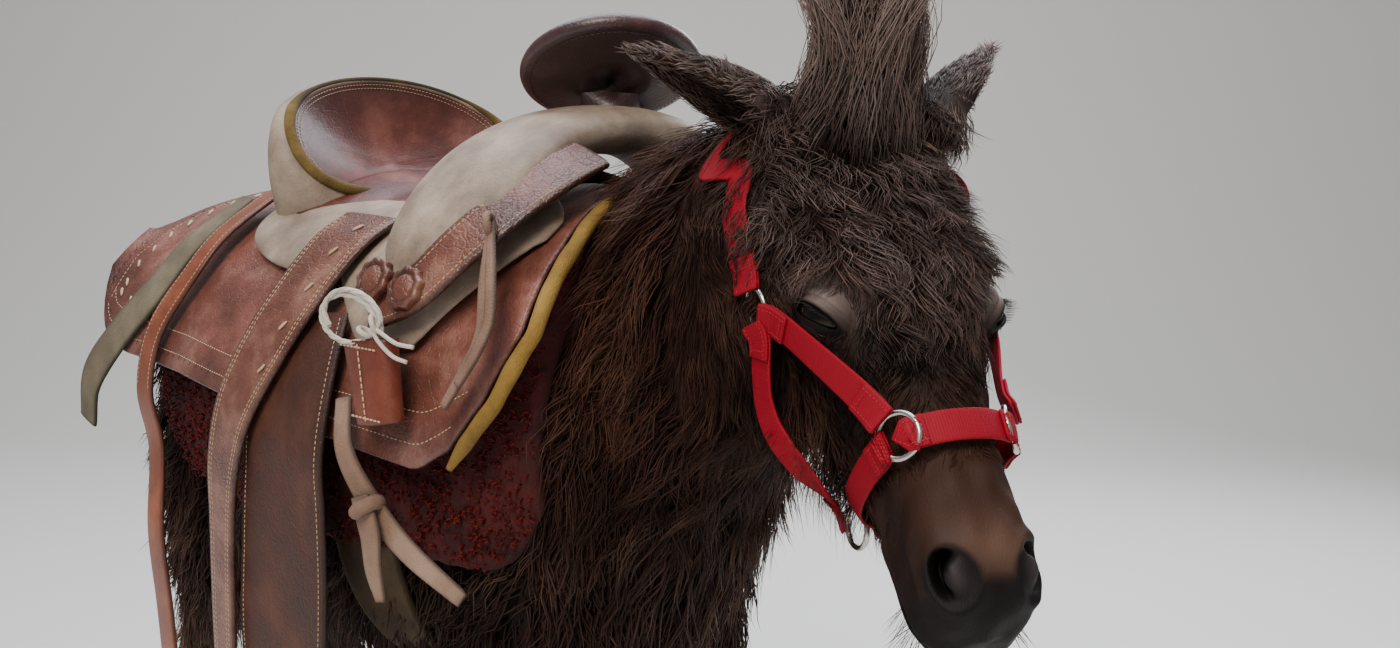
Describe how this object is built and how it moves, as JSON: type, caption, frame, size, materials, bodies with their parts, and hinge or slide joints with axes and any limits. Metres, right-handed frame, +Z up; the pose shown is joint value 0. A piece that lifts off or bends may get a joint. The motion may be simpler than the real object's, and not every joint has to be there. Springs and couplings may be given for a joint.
{
  "type": "pony",
  "caption": "Small shaggy pony standing still with its head low and turned to one side, wearing a stock saddle, fleece pad and webbing halter",
  "frame": {"origin": "On the floor plane under the middle of the whole model's bounding box", "axes": "+X towards the pony's chest and head, +Y to the pony's left, +Z up"},
  "size_m": [1.2726, 0.5838, 1.1368],
  "materials": {
    "coat": "long curly dark brown hair",
    "edging": "yellow-brown suede roll",
    "eye": "wet dark brown eye",
    "fleece": "dark red looped fleece",
    "girth_cord": "natural cord girth",
    "hoof": "dark horn, standing in as matte plastic",
    "leather": "worn brown harness leather",
    "rawhide": "pale rawhide over wood",
    "rope": "white cotton rope",
    "steel": "polished steel rings",
    "suede": "grey-tan suede thongs",
    "webbing": "red nylon webbing"
  },
  "bodies": {
    "root": {"arcion_left": "leather", "arcion_right": "leather", "blanket": "fleece", "cantle_roll": "edging", "cantle_shell": "rawhide", "cheek_left": "webbing", "cheek_right": "webbing", "chin_strap": "webbing", "cinch": "girth_cord", "crown": "webbing", "ear_left": "coat", "ear_right": "coat", "eye_left": "eye", "eye_right": "eye", "fender_left": "leather", "fender_right": "leather", "foreleg_left": "coat", "foreleg_right": "coat", "forelock": "coat", "fork": "rawhide", "fork_strap_left": "leather", "fork_strap_right": "leather", "head": "coat", "hindleg_left": "coat", "hindleg_right": "coat", "hoof_fore_left": "hoof", "hoof_fore_right": "hoof", "hoof_hind_left": "hoof", "hoof_hind_right": "hoof", "horn": "leather", "kid_loop_right": "leather", "latigo_right": "suede", "mane": "coat", "neck": "coat", "noseband": "webbing", "rear_billet_left": "suede", "rear_billet_right": "suede", "rear_strap_left": "leather", "rear_strap_right": "leather", "ring_chin": "steel", "ring_side_left": "steel", "ring_side_right": "steel", "ring_upper_left": "steel", "ring_upper_right": "steel", "rope_tie": "rope", "saddle_string_right": "suede", "seat": "leather", "seat_cup": "leather", "skirt_left": "leather", "skirt_right": "leather", "skirt_roll_left": "edging", "skirt_roll_right": "edging", "stirrup_left": "rawhide", "stirrup_right": "rawhide", "tail": "coat", "throat_left": "webbing", "throat_right": "webbing", "torso": "coat", "tree_bar_left": "rawhide", "tree_bar_right": "rawhide"}
  },
  "joints": []
}
